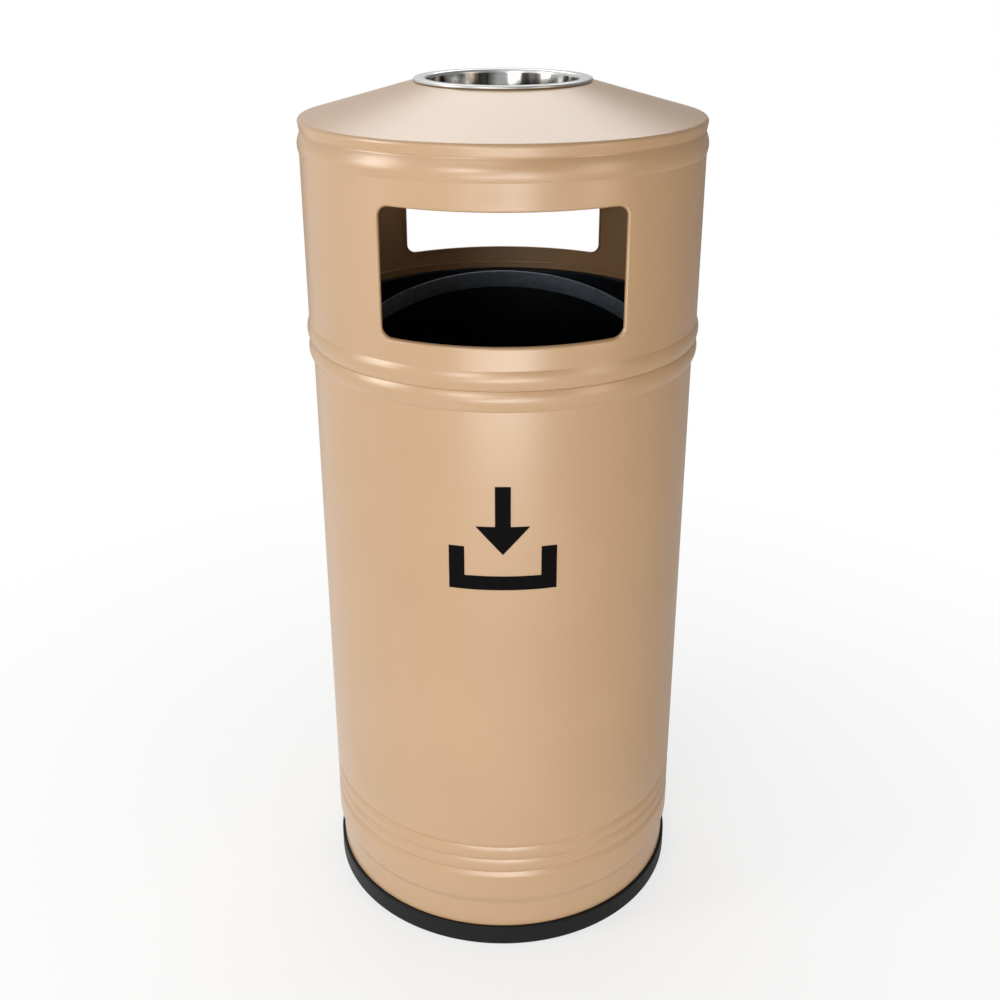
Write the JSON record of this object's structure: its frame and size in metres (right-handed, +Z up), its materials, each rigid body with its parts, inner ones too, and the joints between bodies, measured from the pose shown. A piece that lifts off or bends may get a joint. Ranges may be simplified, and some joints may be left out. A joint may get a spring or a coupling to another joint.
{
  "type": "litter bin",
  "caption": "Free-standing round steel litter bin with a lift-off windowed hood, an ash bowl in its conical cap, a lift-out bucket and a rubber base ring",
  "frame": {"origin": "on the floor, at the middle of the base ring", "axes": "+Z up along the drum, -Y out of the front window, +X to the right seen from the front"},
  "size_m": [0.4046, 0.4046, 0.9],
  "materials": {
    "paint": "satin powder coat in warm beige",
    "base_rubber": "matte black moulded rubber",
    "sign_vinyl": "matte black vinyl",
    "stainless": "brushed stainless steel",
    "liner_black": "satin black enamel",
    "wire": "zinc-plated steel",
    "bail_zinc": "dull zinc-plated flat bar"
  },
  "bodies": {
    "base": {"body_drum": "paint", "base_pan": "paint", "base_ring": "base_rubber", "deposit_sign": "sign_vinyl"},
    "liner": {"liner_drum": "liner_black", "liner_floor": "liner_black", "liner_rim_wire": "wire", "ear_left": "liner_black", "ear_right": "liner_black", "pivot_rivet_left": "wire", "pivot_rivet_right": "wire", "pivot_spacer_left": "wire", "pivot_spacer_right": "wire", "rivet_left_front": "wire", "rivet_left_back": "wire", "rivet_right_front": "wire", "rivet_right_back": "wire"},
    "bail": {"bail_handle": "bail_zinc"},
    "hood": {"hood_drum": "paint", "hood_cap": "paint", "cap_collar": "paint"},
    "ash": {"ash_bowl": "stainless"}
  },
  "joints": [
    {"name": "liner_lift", "type": "slide", "parent": "base", "child": "liner", "axis": [0, 0, 1], "range_m": [0, 0.68]},
    {"name": "hood_lift", "type": "slide", "parent": "liner", "child": "hood", "axis": [0, 0, 1], "range_m": [0, 0.3]},
    {"name": "ash_bowl_lift", "type": "slide", "parent": "hood", "child": "ash", "axis": [0, 0, 1], "range_m": [0, 0.1]},
    {"name": "bail_swing", "type": "hinge", "parent": "liner", "child": "bail", "pos_m": [0, 0, 0.5825], "axis": [1, 0, 0], "range_deg": [0, 137.6]}
  ]
}
